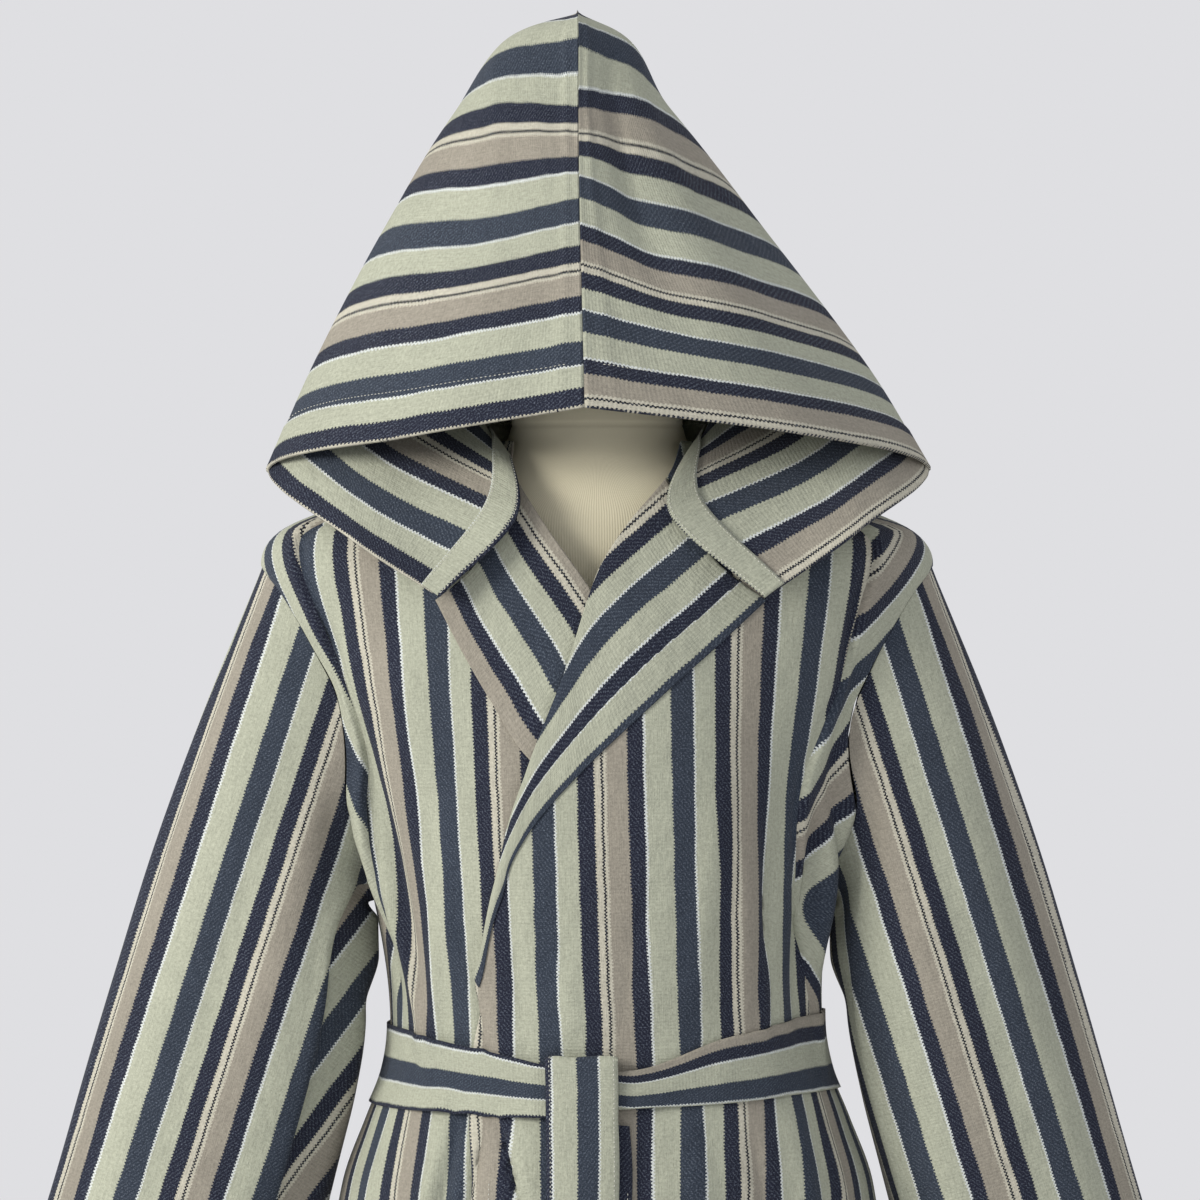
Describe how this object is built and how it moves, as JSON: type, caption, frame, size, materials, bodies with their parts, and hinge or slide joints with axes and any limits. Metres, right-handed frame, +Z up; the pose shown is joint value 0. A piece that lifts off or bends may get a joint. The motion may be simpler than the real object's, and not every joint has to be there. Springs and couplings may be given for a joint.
{
  "type": "hooded bathrobe on a dress form",
  "caption": "Long wrap bathrobe of striped flat cotton with a hung-up hood, wide sleeves, folded lapels and a tied belt, worn on a limbless dress form with a pole and a round base.",
  "frame": {"origin": "centre of the base's underside, on the floor", "axes": "+Z up the pole; +X towards the wearer's left side; the robe's front faces -Y"},
  "size_m": [0.8534, 0.363, 1.7692],
  "materials": {
    "striped_cloth": "matte woven cotton with stripes in pale green, slate, navy, taupe and cream",
    "jersey": "fine matte knit",
    "painted_steel": "satin"
  },
  "bodies": {
    "root": {"front_right": "striped_cloth", "front_left": "striped_cloth", "back": "striped_cloth", "lapel_right": "striped_cloth", "lapel_left": "striped_cloth", "sleeve_left": "striped_cloth", "sleeve_right": "striped_cloth", "hood_left": "striped_cloth", "hood_right": "striped_cloth", "neck_tape_left": "striped_cloth", "neck_tape_right": "striped_cloth", "belt_loop": "striped_cloth", "belt_tail_front": "striped_cloth", "belt_tail_back": "striped_cloth", "form_torso": "jersey", "form_socket": "painted_steel", "stand_pole": "painted_steel", "stand_base": "painted_steel"}
  },
  "joints": []
}
